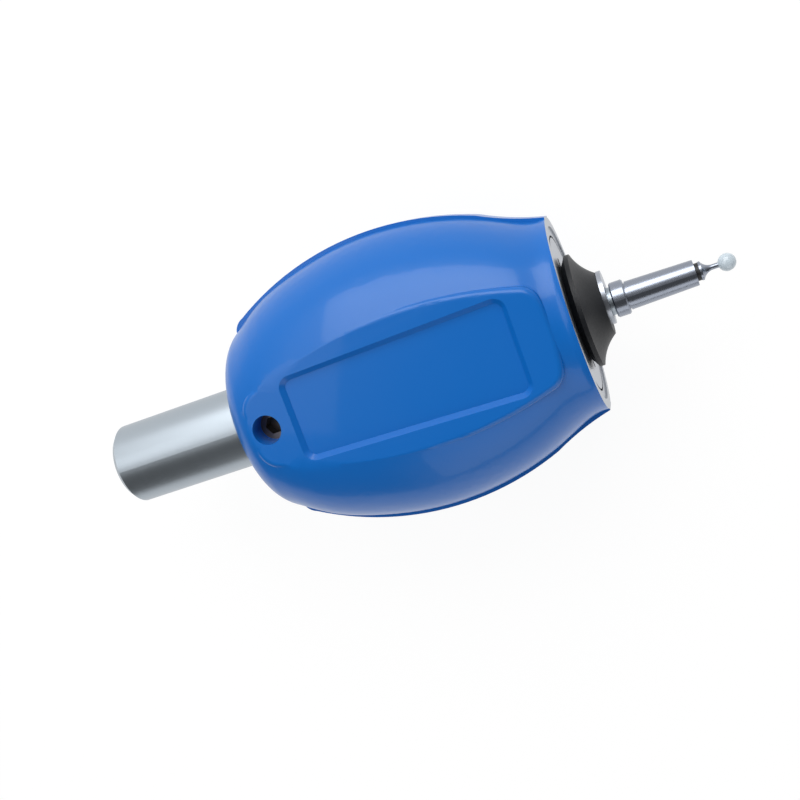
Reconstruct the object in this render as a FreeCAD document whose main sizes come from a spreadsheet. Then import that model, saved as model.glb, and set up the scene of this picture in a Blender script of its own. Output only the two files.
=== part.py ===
import FreeCAD, Part
import Sketcher
import math
import os
import re

# Edge finder with a dial: a probe arm hangs in a gimbal behind the nose, and its sliding
# motion reaches a dial movement through a rack spindle.
# Frame: +X runs along the spindle axis from the free end of the shank to the ball,
# +Z leaves the flat back land, and the dial faces -Z. Lengths are in millimetres.

os.makedirs("parts", exist_ok=True)
doc = FreeCAD.newDocument("edge_finder")

# ---------------------------------------------------------------- driving dimensions

SIZES = {
    # shank and its fastening
    "shank_radius": 10.0,
    "shank_free": 37.5,
    "shank_edge": 1.2,
    "shank_seat": 14.5,
    "shank_seat_radius": 9.6,
    "shank_play": 0.3,
    "shank_wall": 3.0,
    "clamp_radius": 2.5,
    "clamp_grip": 12.0,
    "clamp_head": 4.2,
    "clamp_head_height": 4.0,
    "clamp_play": 0.3,
    "clamp_hex": 2.3,
    "clamp_hex_depth": 2.5,
    # four set screws that centre the shank
    "runout_from_rear": 10.0,
    "runout_radius": 3.3,
    "runout_mouth": 3.4,
    "runout_length": 8.0,
    "runout_hex": 2.2,
    "runout_hex_depth": 3.5,
    "runout_spare": 0.4,
    # outside of the housing
    "housing_length": 81.7,
    "half_width": 33.95,
    "plan_arc": 70.0,
    "girth_from_rear": 40.5,
    "half_depth": 25.5,
    "depth_arc": 400.0,
    "depth_from_rear": 42.5,
    "section_flat": 0.1,
    "flare_back": 14.2,
    "neck_back": 8.0,
    "neck_half_width": 25.2,
    "neck_half_depth": 23.8,
    "throat_back": 3.6,
    "throat_half_width": 23.4,
    "throat_half_depth": 22.4,
    "nose_radius": 22.9,
    "rear_half_depth": 20.4,
    "rear_round": 9.0,
    # raised land on the back, with its recessed label field
    "land_height": 23.0,
    "land_half_width": 16.1,
    "land_arc": 96.0,
    "land_girth_from_rear": 44.5,
    "land_rear_inset": 5.3,
    "land_shoulder_inset": 5.2,
    "land_nose_arc": 45.0,
    "land_corner": 5.0,
    "land_tail_corner": 6.0,
    "land_edge": 1.6,
    "land_root": 12.0,
    "field_rear_inset": 17.3,
    "field_nose_inset": 12.8,
    "field_rear_half": 8.9,
    "field_nose_half": 10.0,
    "field_depth": 1.15,
    "field_corner": 1.8,
    "field_wall": 1.1,
    # narrow lands along both sides
    "side_land_half": 4.0,
    "side_land_rise": 0.4,
    "side_land_inset": 4.0,
    "side_land_lead": 2.5,
    "side_land_corner": 4.0,
    "side_neck_arc": 62.0,
    # boss and cavity of the dial
    "dial_from_rear": 40.5,
    "boss_radius": 26.5,
    "dial_inset": 4.0,
    "boss_face": 25.0,
    "front_land": 23.0,
    "dial_play": 0.1,
    "dial_thickness": 0.6,
    "dial_seat": 18.4,
    "dial_ledge": 1.1,
    "plate_play": 0.5,
    "cavity_top": 9.6,
    "arbor_pocket": 2.6,
    # bezel and crystal
    "bezel_height": 4.0,
    "bezel_chamfer": 0.8,
    "bezel_skirt": 1.5,
    "bezel_play": 0.1,
    "bezel_lap": 0.9,
    "spanner_inset": 1.9,
    "spanner_hole": 0.7,
    "spanner_depth": 1.2,
    "bezel_bevel": 1.2,
    "crystal_inset": 2.5,
    "crystal_thickness": 1.6,
    "crystal_play": 0.1,
    "seal_thickness": 0.6,
    "seal_width": 1.2,
    # nose cover and boot
    "cover_recess": 0.4,
    "cover_thickness": 3.0,
    "cover_radius": 20.6,
    "cover_opening": 11.2,
    "cover_line": 18.3,
    "cover_line_width": 0.5,
    "cover_line_depth": 1.0,
    "cover_slot": 1.6,
    "cover_slot_reach": 1.9,
    "boot_flange": 1.5,
    "boot_flange_radius": 18.8,
    "boot_play": 0.3,
    "boot_wall": 0.9,
    "boot_rim": 13.2,
    "boot_lip_height": 1.0,
    "boot_rim_rise": 1.0,
    "boot_cone_arc": 11.5,
    "boot_neck_radius": 7.2,
    "boot_lip": 0.9,
    # gimbal
    "nose_bore": 19.0,
    "carrier_length": 12.5,
    "carrier_inner": 15.7,
    "pivot_from_front": 7.0,
    "ring_outer": 15.0,
    "ring_inner": 10.4,
    "ring_half": 3.0,
    "pin_radius": 1.25,
    "running_gap": 0.04,
    "carrier_pin_inner": 12.0,
    "ring_pin_inner": 6.4,
    "ring_pin_inset": 0.3,
    "sleeve_outer": 7.8,
    "sleeve_half": 6.5,
    "arm_radius": 5.0,
    # probe arm
    "stop_gap": 0.3,
    "arm_head": 7.0,
    "arm_head_thickness": 2.0,
    "dish_radius": 4.2,
    "dish_depth": 1.6,
    "dish_gap": 0.6,
    "arm_shoulder_past_front": 3.0,
    "neck_radius": 3.2,
    "washer_from_nose": 6.4,
    "washer_thickness": 1.0,
    "washer_radius": 6.25,
    "washer_offset": 1.2,
    "arm_tip_reach": 5.0,
    # stylus
    "lock_gap": 0.8,
    "lock_radius": 4.05,
    "lock_length": 3.1,
    "lock_chamfer": 0.3,
    "stud_radius_front": 2.0,
    "sleeve_length": 15.6,
    "sleeve_root_radius": 3.3,
    "sleeve_tip_radius": 2.95,
    "sleeve_groove": 0.3,
    "stem_bore": 1.2,
    "stem_bore_depth": 8.0,
    "break_length": 0.9,
    "break_radius": 2.0,
    "cone_root": 2.15,
    "cone_length": 2.6,
    "cone_land": 0.5,
    "cone_arc": 2.6,
    "stem_radius": 0.6,
    "ball_radius": 2.0,
    "ball_reach": 22.5,
    "ball_seat": 0.5,
    # spring and rack spindle
    "travel": 4.0,
    "spring_room": 20.5,
    "spring_room_radius": 8.6,
    "bush_radius": 4.5,
    "bush_length": 6.5,
    "bush_flange_radius": 6.2,
    "bush_flange": 2.0,
    "spindle_radius": 2.5,
    "transfer_radius": 2.5,
    "transfer_seat": 1.0,
    "transfer_cup": 1.8,
    "spindle_nose": 1.2,
    "spindle_head": 6.2,
    "spindle_head_thickness": 2.0,
    "spring_mean_radius": 4.6,
    "spring_wire": 0.4,
    "spring_turns": 4.5,
    # gear train
    "tooth_pitch": 0.625,
    "tooth_addendum": 0.17,
    "tooth_dedendum": 0.24,
    "tooth_backlash": 0.08,
    "pressure_angle": 20.0,
    "rack_line": 1.5,
    "rack_lead": 2.3,
    "rack_pinion_teeth": 16,
    "wheel_teeth": 100,
    "centre_teeth": 10,
    "rack_pinion_half": 2.0,
    "wheel_thickness": 0.6,
    "wheel_rim": 1.6,
    "wheel_hub": 1.8,
    "wheel_spokes": 4,
    "spoke_width": 1.4,
    "rack_wheel_level": 12.9,
    "takeup_wheel_level": 11.5,
    "takeup_turn": 15.0,
    "arbor_radius": 0.6,
    "centre_arbor_radius": 0.7,
    "pivot_gap": 0.2,
    "hairspring_level": 14.5,
    "hairspring_height": 0.5,
    "hairspring_thickness": 0.15,
    "hairspring_step": 0.45,
    "hairspring_halves": 8,
    "collet_radius": 1.1,
    "stud_radius": 0.45,
    # plates, pillars and their screws
    "pillar_inset": 2.0,
    "plate_thickness": 1.2,
    "plate_gap": 5.2,
    "pillar_radius": 1.8,
    "plate_screw_radius": 0.8,
    "plate_screw_head": 1.5,
    "plate_screw_head_height": 1.0,
    "plate_screw_grip": 2.2,
    "plate_screw_slot": 0.4,
    # pointers
    "dial_hole": 1.6,
    "small_hole": 1.3,
    "small_pointer_lift": 0.9,
    "small_pointer_length": 4.6,
    "small_pointer_tail": 2.2,
    "main_pointer_lift": 2.4,
    "main_pointer_short": 4.1,
    "main_pointer_tail": 5.5,
    "pointer_thickness": 0.35,
    "pointer_root_half": 0.75,
    "pointer_tip_half": 0.2,
    "pointer_hub": 1.7,
    "pointer_hub_height": 0.9,
}

sheet = doc.addObject("Spreadsheet::Sheet", "sizes")
for row, (alias, number) in enumerate(SIZES.items(), start=1):
    sheet.set(f"A{row}", alias)
    sheet.set(f"B{row}", str(number))
    sheet.setAlias(f"B{row}", alias)
doc.recompute()

# ---------------------------------------------------------------- places along the axis

REAR = "shank_free"
NOSE = "(shank_free + housing_length)"
GIRTH = "(shank_free + girth_from_rear)"
DEPTH = "(shank_free + depth_from_rear)"
DIAL = "(shank_free + dial_from_rear)"
RUNOUT = "(shank_free + runout_from_rear)"
SHANK_END = "(shank_free + shank_seat)"
CHAMBER_REAR = "(shank_free + shank_seat + shank_wall)"
COVER_FRONT = f"({NOSE} - cover_recess)"
COVER_BACK = f"({COVER_FRONT} - cover_thickness)"
CARRIER_FRONT = f"({COVER_BACK} - boot_flange)"
BORE_FLOOR = f"({CARRIER_FRONT} - carrier_length)"
PIVOT = f"({CARRIER_FRONT} - pivot_from_front)"
SPRING_FLOOR = f"({BORE_FLOOR} - spring_room)"
BUSH_FRONT = f"({SPRING_FLOOR} + bush_flange)"
SLEEVE_REAR = f"({PIVOT} - sleeve_half)"
ARM_HEAD_FRONT = f"({SLEEVE_REAR} - stop_gap)"
ARM_REAR = f"({ARM_HEAD_FRONT} - arm_head_thickness)"
DISH_APEX = f"({ARM_REAR} + dish_depth)"
TRANSFER = f"({DISH_APEX} - dish_gap - transfer_radius * sqrt(1 + (dish_depth / dish_radius) ^ 2))"
SPINDLE_FRONT = f"({TRANSFER} - transfer_seat)"
SPINDLE_HEAD_FRONT = f"({SPINDLE_FRONT} - spindle_nose)"
SPINDLE_HEAD_BACK = f"({SPINDLE_HEAD_FRONT} - spindle_head_thickness)"
WASHER_BACK = f"({NOSE} + washer_from_nose)"
WASHER_FRONT = f"({WASHER_BACK} + washer_thickness)"
LOCK_BACK = f"({WASHER_FRONT} + lock_gap)"
LOCK_FRONT = f"({LOCK_BACK} + lock_length)"
SLEEVE_TIP = f"({LOCK_FRONT} + sleeve_length)"
BREAK_TIP = f"({SLEEVE_TIP} + break_length)"
BALL = f"({LOCK_FRONT} + ball_reach)"

# rings and plates of the dial side
DIAL_RADIUS = "(boss_radius - dial_inset)"
CAVITY_RADIUS = f"({DIAL_RADIUS} + dial_play - dial_ledge)"
PLATE_RADIUS = f"({CAVITY_RADIUS} - plate_play)"
PILLAR_CIRCLE = f"({PLATE_RADIUS} - pillar_inset)"
SPIGOT_RADIUS = "(boss_radius - bezel_skirt)"
CRYSTAL_RADIUS = "(boss_radius - crystal_inset)"
WINDOW_RADIUS = f"({DIAL_RADIUS} - bezel_lap)"

# gear centres, seen along Z
PINION_RADIUS = "(rack_pinion_teeth * tooth_pitch / (2 * pi))"
ARBOR_Y = f"(rack_line + {PINION_RADIUS})"
MESH = "((wheel_teeth + centre_teeth) * tooth_pitch / (2 * pi))"
ARBOR_X = f"({DIAL} - sqrt({MESH} ^ 2 - {ARBOR_Y} ^ 2))"
TAKEUP_X = f"({DIAL} + {MESH} * cos(takeup_turn))"
TAKEUP_Y = f"({MESH} * sin(takeup_turn))"

# levels below the axis
BACK_PLATE = "(cavity_top + plate_thickness)"
FRONT_PLATE = f"({BACK_PLATE} + plate_gap)"
FRONT_PLATE_FACE = f"({FRONT_PLATE} + plate_thickness)"
DIAL_FACE = "(dial_seat + dial_thickness)"
BEZEL_FACE = "(boss_face + bezel_height)"
CRYSTAL_BACK = "(boss_face + seal_thickness)"


def bound(expression):
    """Point each dimension's name in the expression at its cell in the sheet."""
    return re.sub(r"[a-z_]+", lambda word: f"sizes.{word[0]}" if word[0] in SIZES else word[0], expression)


def value(expression):
    """The number that an expression of dimensions stands for."""
    return float(sheet.evalExpression(bound(expression)))


def tie(item, **expressions):
    """Bind properties of an object to expressions; double underscores stand for dots."""
    for name, expression in expressions.items():
        item.setExpression(name.replace("__", "."), bound(expression))


# ---------------------------------------------------------------- sketches and bodies

def new_body(label, x="0", y="0", z="0"):
    body = doc.addObject("PartDesign::Body", label)
    body.Label = label
    body.AllowCompound = True
    tie(body, Placement__Base__x=x, Placement__Base__y=y, Placement__Base__z=z)
    return body


def origin_feature(body, role):
    return next(item for item in body.Origin.OriginFeatures if item.Role == role)


def new_sketch(body, name, plane="XZ_Plane", lift="0"):
    """A sketch on one of the body's own planes, lifted along that plane's normal."""
    sketch = body.newObject("Sketcher::SketchObject", name)
    sketch.AttachmentSupport = [(origin_feature(body, plane), "")]
    sketch.MapMode = "FlatFace"
    tie(sketch, AttachmentOffset__Base__z=lift)
    return sketch


def hold_point(sketch, edge, end, corner):
    """Fix one end of an edge to its corner's two expressions."""
    for kind, axis, expression in (("DistanceX", -2, corner[0]), ("DistanceY", -1, corner[1])):
        if expression == "0":
            sketch.addConstraint(Sketcher.Constraint("PointOnObject", edge, end, axis))
            continue
        index = sketch.addConstraint(Sketcher.Constraint(kind, -1, 1, edge, end, value(expression)))
        sketch.setExpression(f"Constraints[{index}]", bound(expression))



def draw_outline(sketch, corners):
    """Draw a closed outline. A corner is (x, y) or (x, y, radius): the radius bends the edge
    that leaves it, to the left, or to the right where it starts with a minus."""
    places = [FreeCAD.Vector(value(corner[0]), value(corner[1]), 0) for corner in corners]
    edges = []
    for index, corner in enumerate(corners):
        start = places[index]
        stop = places[(index + 1) % len(places)]
        if len(corner) == 2:
            edges.append((sketch.addGeometry(Part.LineSegment(start, stop)), 1, 2))
            continue
        right = corner[2].startswith("-")
        radius_expression = corner[2].lstrip("-")
        radius = value(radius_expression)
        chord = stop - start
        sideways = FreeCAD.Vector(-chord.y, chord.x, 0).normalize()
        if right:
            sideways = -sideways
        middle = (start + stop) * 0.5
        centre = middle + sideways * math.sqrt(radius ** 2 - (chord.Length / 2) ** 2)
        first, last = (stop, start) if right else (start, stop)
        circle = Part.Circle(centre, FreeCAD.Vector(0, 0, 1), radius)
        first_angle = math.atan2(first.y - centre.y, first.x - centre.x)
        last_angle = math.atan2(last.y - centre.y, last.x - centre.x)
        edge = sketch.addGeometry(Part.ArcOfCircle(circle, first_angle, last_angle))
        bend = sketch.addConstraint(Sketcher.Constraint("Radius", edge, radius))
        sketch.setExpression(f"Constraints[{bend}]", bound(radius_expression))
        edges.append((edge, 2, 1) if right else (edge, 1, 2))
    for index, corner in enumerate(corners):
        edge, start_end, stop_end = edges[index]
        following, following_start, _ = edges[(index + 1) % len(edges)]
        sketch.addConstraint(Sketcher.Constraint("Coincident", edge, stop_end, following, following_start))
        hold_point(sketch, edge, start_end, corner)


def draw_circle(sketch, x, y, radius):
    centre = FreeCAD.Vector(value(x), value(y), 0)
    edge = sketch.addGeometry(Part.Circle(centre, FreeCAD.Vector(0, 0, 1), value(radius)))
    hold_point(sketch, edge, 3, (x, y))
    bend = sketch.addConstraint(Sketcher.Constraint("Radius", edge, value(radius)))
    sketch.setExpression(f"Constraints[{bend}]", bound(radius))


def revolve(body, name, corners, axis="H_Axis", cut=False, plane="XZ_Plane"):
    """Turn an outline about its sketch's horizontal or vertical axis."""
    sketch = new_sketch(body, f"{name}_outline", plane)
    draw_outline(sketch, corners)
    turned = body.newObject("PartDesign::Groove" if cut else "PartDesign::Revolution", name)
    turned.Profile = sketch
    turned.ReferenceAxis = (sketch, [axis])
    turned.Angle = 360
    body.Tip = turned
    doc.recompute()
    return turned


def extrude(body, name, sketch, length, cut=False, backwards=False, both=False, taper=None):
    """Pad or pocket a sketch by a bound length."""
    feature = body.newObject("PartDesign::Pocket" if cut else "PartDesign::Pad", name)
    feature.Profile = sketch
    tie(feature, Length=length)
    feature.Reversed = backwards
    if both:
        feature.SideType = "Symmetric"
    if taper:
        tie(feature, TaperAngle=taper)
    body.Tip = feature
    doc.recompute()
    return feature


def edges_where(feature, test):
    """Names of the feature's edges that pass a test."""
    return [f"Edge{number}" for number, edge in enumerate(feature.Shape.Edges, start=1) if test(edge)]


def dress(body, name, edge_names, size, kind="Fillet"):
    """Fillet or chamfer named edges of the body's tip."""
    dressed = body.Tip
    feature = body.newObject(f"PartDesign::{kind}", name)
    feature.Base = (dressed, edge_names)
    tie(feature, **{"Radius" if kind == "Fillet" else "Size": size})
    body.Tip = feature
    doc.recompute()
    return feature


def pattern(body, name, features, role, count):
    """Repeat features round one of the body's axes."""
    feature = body.newObject("PartDesign::PolarPattern", name)
    feature.Originals = features
    feature.Axis = (origin_feature(body, role), [""])
    feature.Angle = 360
    feature.Occurrences = count
    body.Tip = feature
    doc.recompute()
    return feature


def draw_polygon(sketch, x, y, radius, sides):
    """A regular polygon whose corners lie on a circle."""
    turns = [f"{360 * side / sides}" for side in range(sides)]
    draw_outline(sketch, [(f"{x} + {radius} * cos({turn})", f"{y} + {radius} * sin({turn})") for turn in turns])


def draw_box(sketch, low_x, low_y, high_x, high_y):
    draw_outline(sketch, [(low_x, low_y), (high_x, low_y), (high_x, high_y), (low_x, high_y)])


def hole(body, name, x, y, radius, length, plane="XY_Plane", lift="0", backwards=False, both=False, taper=None):
    """Cut a round hole that starts at a lifted plane."""
    sketch = new_sketch(body, f"{name}_circle", plane, lift)
    draw_circle(sketch, x, y, radius)
    return extrude(body, name, sketch, length, cut=True, backwards=backwards, both=both, taper=taper)


def post(body, name, x, y, radius, length, plane="XY_Plane", lift="0", backwards=False, both=False, taper=None):
    """Add a round post that starts at a lifted plane."""
    sketch = new_sketch(body, f"{name}_circle", plane, lift)
    draw_circle(sketch, x, y, radius)
    return extrude(body, name, sketch, length, backwards=backwards, both=both, taper=taper)


def coded_part(label, shape, x="0", y="0", z="0", turn=None):
    """A piece whose outline only a formula gives."""
    part = doc.addObject("Part::Feature", label)
    part.Label = label
    part.Shape = shape
    part.Placement = FreeCAD.Placement(FreeCAD.Vector(value(x), value(y), value(z)), turn or FreeCAD.Rotation())
    return part


# ---------------------------------------------------------------- housing

def barrel_station(name, x, half_width, half_depth):
    """One cross-section of the barrel: an ellipse across the axis, its long axis along Y."""
    half_depth = f"min({half_depth}; {half_width} - section_flat)"
    station = doc.addObject("Part::Ellipse", name)
    station.Placement = FreeCAD.Placement(
        FreeCAD.Vector(0, 0, 0),
        FreeCAD.Rotation(FreeCAD.Vector(0, 1, 0), FreeCAD.Vector(0, 0, 1), FreeCAD.Vector(1, 0, 0), "ZXY"),
    )
    tie(station, Placement__Base__x=x, MajorRadius=half_width, MinorRadius=half_depth)
    return station


def plan_half_width(x):
    """Half width of the barrel's plan arc at a place along the axis."""
    return f"(half_width - plan_arc + sqrt(plan_arc ^ 2 - ({x} - {GIRTH}) ^ 2))"


def side_half_depth(x):
    return f"(half_depth - depth_arc + sqrt(depth_arc ^ 2 - ({x} - {DEPTH}) ^ 2))"


def make_barrel():
    """The flattened barrel, lofted through ellipses that two long arcs size."""
    arc_stations = 6
    stations = [barrel_station("station_rear", REAR, f"{plan_half_width(REAR)} - side_land_rise",
                               "rear_half_depth")]
    for index in range(1, arc_stations + 1):
        x = f"({REAR} + (housing_length - flare_back) * {index} / {arc_stations})"
        stations.append(barrel_station(f"station_{index}", x, f"{plan_half_width(x)} - side_land_rise",
                                       side_half_depth(x)))
    stations.append(barrel_station("station_neck", f"{NOSE} - neck_back", "neck_half_width", "neck_half_depth"))
    stations.append(barrel_station("station_throat", f"{NOSE} - throat_back", "throat_half_width",
                                   "throat_half_depth"))
    stations.append(barrel_station("station_nose", NOSE, "nose_radius", "nose_radius"))
    barrel = doc.addObject("Part::Loft", "barrel")
    barrel.Sections = stations
    barrel.Solid = True
    barrel.Ruled = False
    doc.recompute()
    return barrel


def land_half(x):
    """Half width of the back land at a place along the axis."""
    return f"(land_half_width - land_arc + sqrt(land_arc ^ 2 - ({x} - {REAR} - land_girth_from_rear) ^ 2))"


def make_land():
    """The raised back land: two long arcs meet a straight tail and a blunt nose arc."""
    body = new_body("land")
    tail = f"({REAR} + land_rear_inset)"
    shoulder = f"({NOSE} - land_shoulder_inset)"
    outline = new_sketch(body, "land_outline", "XY_Plane", "land_root")
    draw_outline(outline, [
        (tail, f"-{land_half(tail)}", "land_arc"),
        (shoulder, f"-{land_half(shoulder)}", "land_nose_arc"),
        (shoulder, land_half(shoulder), "land_arc"),
        (tail, land_half(tail)),
    ])
    extrude(body, "land_pad", outline, "land_height - land_root")
    middle = value(DIAL)
    upright = edges_where(body.Tip, lambda edge: edge.BoundBox.XLength < 0.01 and edge.BoundBox.YLength < 0.01)
    nose_corners = [name for name in upright if body.Tip.Shape.getElement(name).BoundBox.XMin > middle]
    dress(body, "nose_corners", nose_corners, "land_corner")
    tail_corners = edges_where(body.Tip, lambda edge: edge.BoundBox.YLength < 0.01 and edge.BoundBox.XMax < middle
                               and edge.BoundBox.ZLength > 1)
    dress(body, "tail_corners", tail_corners, "land_tail_corner")
    top = value("land_height")
    rim = edges_where(body.Tip, lambda edge: edge.BoundBox.ZMin > top - 0.01)
    dress(body, "land_edge_round", rim, "land_edge")
    return body


def make_housing():
    barrel = make_barrel()
    land = make_land()
    body = new_body("housing")
    body.BaseFeature = barrel
    doc.recompute()
    rear = value(REAR)
    rear_rim = edges_where(body.Tip, lambda edge: edge.BoundBox.XMax < rear + 0.01)
    dress(body, "rear_rounding", rear_rim, "rear_round")

    side = new_sketch(body, "side_land_outline", "XY_Plane")
    tail = f"({REAR} + side_land_inset)"
    start = f"({tail} + side_land_lead)"
    flare = f"({NOSE} - flare_back)"
    draw_outline(side, [
        (tail, f"side_land_lead - {plan_half_width(start)}", "side_land_corner"),
        (start, f"-{plan_half_width(start)}", "plan_arc"),
        (flare, f"-{plan_half_width(flare)}", "-side_neck_arc"),
        (NOSE, "-nose_radius"),
        (NOSE, "nose_radius", "-side_neck_arc"),
        (flare, plan_half_width(flare), "plan_arc"),
        (start, plan_half_width(start), "side_land_corner"),
        (tail, f"{plan_half_width(start)} - side_land_lead"),
    ])
    extrude(body, "side_lands", side, "2 * side_land_half", both=True)

    post(body, "dial_boss", DIAL, "0", "boss_radius", "front_land", backwards=True)
    front = new_sketch(body, "front_trim_outline", "XY_Plane", "-front_land")
    draw_box(front, REAR, "-half_width", NOSE, "half_width")
    extrude(body, "front_trim", front, "half_depth", cut=True)
    post(body, "bezel_seat", DIAL, "0", SPIGOT_RADIUS, "boss_face - front_land", lift="-front_land",
         backwards=True)
    back = new_sketch(body, "back_trim_outline", "XY_Plane", "land_height")
    draw_box(back, REAR, "-half_width", NOSE, "half_width")
    extrude(body, "back_trim", back, "half_depth", cut=True, backwards=True)
    join = body.newObject("PartDesign::Boolean", "land_join")
    join.setObjects([land])
    join.Type = "Fuse"
    body.Tip = join
    doc.recompute()

    field = new_sketch(body, "label_field_outline", "XY_Plane", "land_height")
    field_rear = f"({REAR} + field_rear_inset)"
    field_nose = f"({NOSE} - field_nose_inset)"
    draw_outline(field, [
        (f"{field_rear} + field_corner", "-field_rear_half"),
        (f"{field_nose} - field_corner", "-field_nose_half", "field_corner"),
        (field_nose, "field_corner - field_nose_half"),
        (field_nose, "field_nose_half - field_corner", "field_corner"),
        (f"{field_nose} - field_corner", "field_nose_half"),
        (f"{field_rear} + field_corner", "field_rear_half", "field_corner"),
        (field_rear, "field_rear_half - field_corner"),
        (field_rear, "field_corner - field_rear_half", "field_corner"),
    ])
    extrude(body, "label_field", field, "field_depth", cut=True)
    top = value("land_height")
    field_reach = value(f"{field_nose} - {field_rear}") + 0.01
    rim = edges_where(body.Tip, lambda edge: edge.BoundBox.ZMin > top - 0.001
                      and edge.BoundBox.XMin > value(field_rear) - 0.01
                      and edge.BoundBox.XMax < value(field_nose) + 0.01
                      and edge.BoundBox.XLength < field_reach
                      and edge.BoundBox.YMax < value("field_nose_half") + 0.01
                      and edge.BoundBox.YMin > -value("field_nose_half") - 0.01)
    dress(body, "label_field_wall", rim, "field_wall", kind="Chamfer")

    cut_housing_bores(body)
    return body


def cut_housing_bores(body):
    """Everything that the pieces inside need: axial bores, dial cavity and screw holes."""
    revolve(body, "axial_bores", [
        (f"{REAR} - shank_wall", "0"),
        (f"{REAR} - shank_wall", "shank_radius + shank_play"),
        (SHANK_END, "shank_radius + shank_play"),
        (SHANK_END, "clamp_radius + clamp_play"),
        (CHAMBER_REAR, "clamp_radius + clamp_play"),
        (CHAMBER_REAR, "bush_radius"),
        (SPRING_FLOOR, "bush_radius"),
        (SPRING_FLOOR, "spring_room_radius"),
        (BORE_FLOOR, "spring_room_radius"),
        (BORE_FLOOR, "nose_bore"),
        (COVER_BACK, "nose_bore"),
        (COVER_BACK, "cover_radius"),
        (f"{NOSE} + cover_recess", "cover_radius"),
        (f"{NOSE} + cover_recess", "0"),
    ], cut=True)
    hole(body, "dial_cavity", DIAL, "0", CAVITY_RADIUS, "boss_face - cavity_top",
         lift="-boss_face", backwards=True)
    hole(body, "dial_recess", DIAL, "0", f"{DIAL_RADIUS} + dial_play", "boss_face - dial_seat",
         lift="-boss_face", backwards=True)
    hole(body, "arbor_clearance", ARBOR_X, ARBOR_Y, "arbor_pocket", "cavity_top + rack_pinion_half + pivot_gap",
         lift="-cavity_top", backwards=True)
    thread = hole(body, "runout_thread", RUNOUT, "0", "runout_radius",
                  "shank_seat_radius + runout_length + runout_spare", backwards=True)
    mouth = hole(body, "runout_mouth_hole", RUNOUT, "0", "runout_mouth", "half_width",
                 lift="shank_seat_radius + runout_length + runout_spare", backwards=True)
    pattern(body, "runout_holes", [thread, mouth], "X_Axis", 4)
    for index in range(3):
        angle = 90 + 120 * index
        hole(body, f"plate_screw_hole_{index}", f"{DIAL} + {PILLAR_CIRCLE} * cos({angle})",
             f"{PILLAR_CIRCLE} * sin({angle})", "plate_screw_radius", "plate_screw_grip + pivot_gap",
             lift="-cavity_top", backwards=True)


# ---------------------------------------------------------------- shank and its screws

def make_shank():
    body = new_body("shank")
    revolve(body, "turned_shank", [
        ("0", "0"),
        ("0", "shank_radius - shank_edge"),
        ("shank_edge", "shank_radius"),
        (REAR, "shank_radius"),
        (REAR, "shank_seat_radius"),
        (SHANK_END, "shank_seat_radius"),
        (SHANK_END, "clamp_radius"),
        (f"{SHANK_END} - clamp_grip", "clamp_radius"),
        (f"{SHANK_END} - clamp_grip - clamp_radius", "0"),
    ])
    return body


def make_shank_screw():
    """Socket cap screw that draws the shank against its seat."""
    body = new_body("shank_screw")
    revolve(body, "turned_screw", [
        (f"{SHANK_END} - clamp_grip + pivot_gap", "0"),
        (f"{SHANK_END} - clamp_grip + pivot_gap", "clamp_radius"),
        (CHAMBER_REAR, "clamp_radius"),
        (CHAMBER_REAR, "clamp_head"),
        (f"{CHAMBER_REAR} + clamp_head_height", "clamp_head"),
        (f"{CHAMBER_REAR} + clamp_head_height", "0"),
    ])
    socket = new_sketch(body, "socket_outline", "YZ_Plane", f"{CHAMBER_REAR} + clamp_head_height")
    draw_polygon(socket, "0", "0", "clamp_hex", 6)
    extrude(body, "socket", socket, "clamp_hex_depth", cut=True)
    return body


def make_runout_screws():
    """Four socket set screws at right angles that bear on the shank."""
    body = new_body("runout_screws", x=RUNOUT)
    stem = post(body, "set_screw", "0", "0", "runout_radius", "runout_length", lift="shank_seat_radius")
    socket_sketch = new_sketch(body, "socket_outline", "XY_Plane", "shank_seat_radius + runout_length")
    draw_polygon(socket_sketch, "0", "0", "runout_hex", 6)
    socket = extrude(body, "socket", socket_sketch, "runout_hex_depth", cut=True)
    pattern(body, "four_screws", [stem, socket], "X_Axis", 4)
    return body


# ---------------------------------------------------------------- nose

def make_nose_cover():
    body = new_body("nose_cover")
    revolve(body, "turned_cover", [
        (COVER_BACK, "cover_opening"),
        (COVER_BACK, "cover_radius"),
        (COVER_FRONT, "cover_radius"),
        (COVER_FRONT, "cover_line + cover_line_width / 2"),
        (f"{COVER_FRONT} - cover_line_depth", "cover_line + cover_line_width / 2"),
        (f"{COVER_FRONT} - cover_line_depth", "cover_line - cover_line_width / 2"),
        (COVER_FRONT, "cover_line - cover_line_width / 2"),
        (COVER_FRONT, "cover_opening"),
    ])
    slot_sketch = new_sketch(body, "spanner_slot_outline", "YZ_Plane", COVER_FRONT)
    draw_box(slot_sketch, "cover_opening - cover_slot_reach", "-cover_slot / 2",
             "cover_opening + cover_slot_reach", "cover_slot / 2")
    slot = extrude(body, "spanner_slot", slot_sketch, "cover_thickness / 2", cut=True)
    pattern(body, "spanner_slots", [slot], "X_Axis", 2)
    return body


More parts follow.
